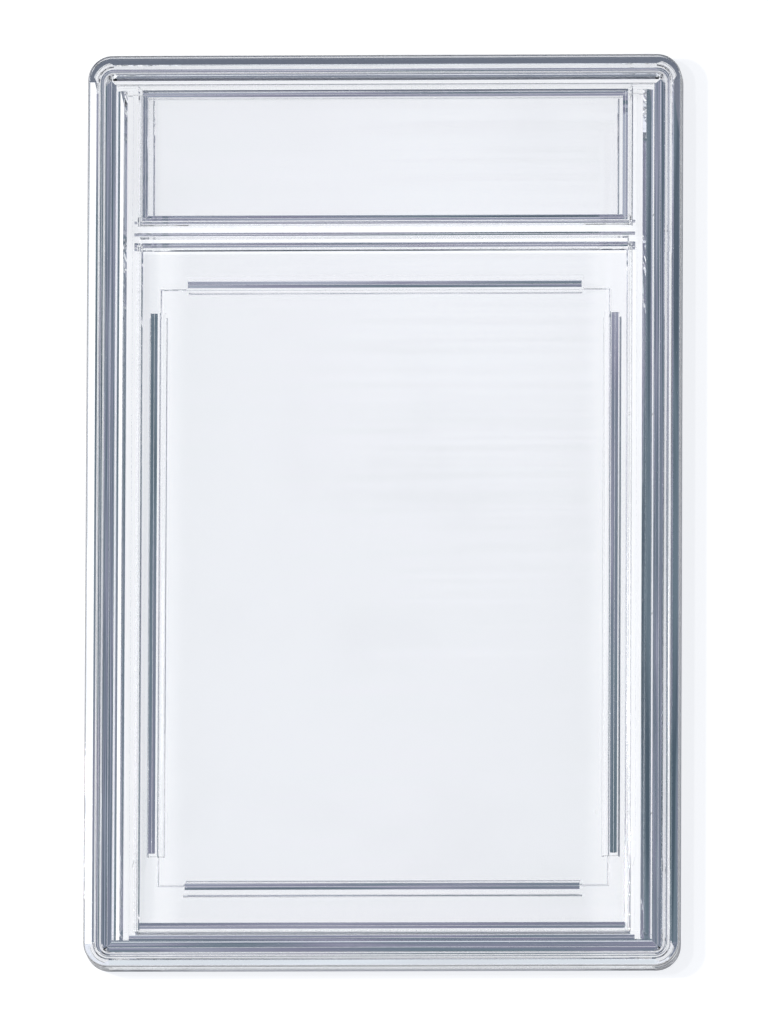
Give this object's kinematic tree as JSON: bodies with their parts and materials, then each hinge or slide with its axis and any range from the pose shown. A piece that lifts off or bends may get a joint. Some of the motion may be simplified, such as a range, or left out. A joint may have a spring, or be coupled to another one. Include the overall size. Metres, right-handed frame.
{
  "type": "trading card display case",
  "caption": "Clear two-shell display case for a trading card, with a label pocket above the card window, card rails in an open-cornered bed and a stacking rim.",
  "frame": {"origin": "on the resting plane, under the middle of the case's bounding box, with the case lying on its back", "axes": "+X to the right as the card is read, +Y towards the label end, +Z out of the front"},
  "size_m": [0.0886, 0.137, 0.0066],
  "materials": {
    "clear_front": "polished",
    "clear_back": "polished"
  },
  "bodies": {
    "base": {"back_shell": "clear_back"},
    "cover": {"front_shell": "clear_front"}
  },
  "joints": [
    {"name": "front_shell_lift", "type": "slide", "parent": "base", "child": "cover", "axis": [0, 0, 1], "range_m": [0, 0.03]}
  ]
}
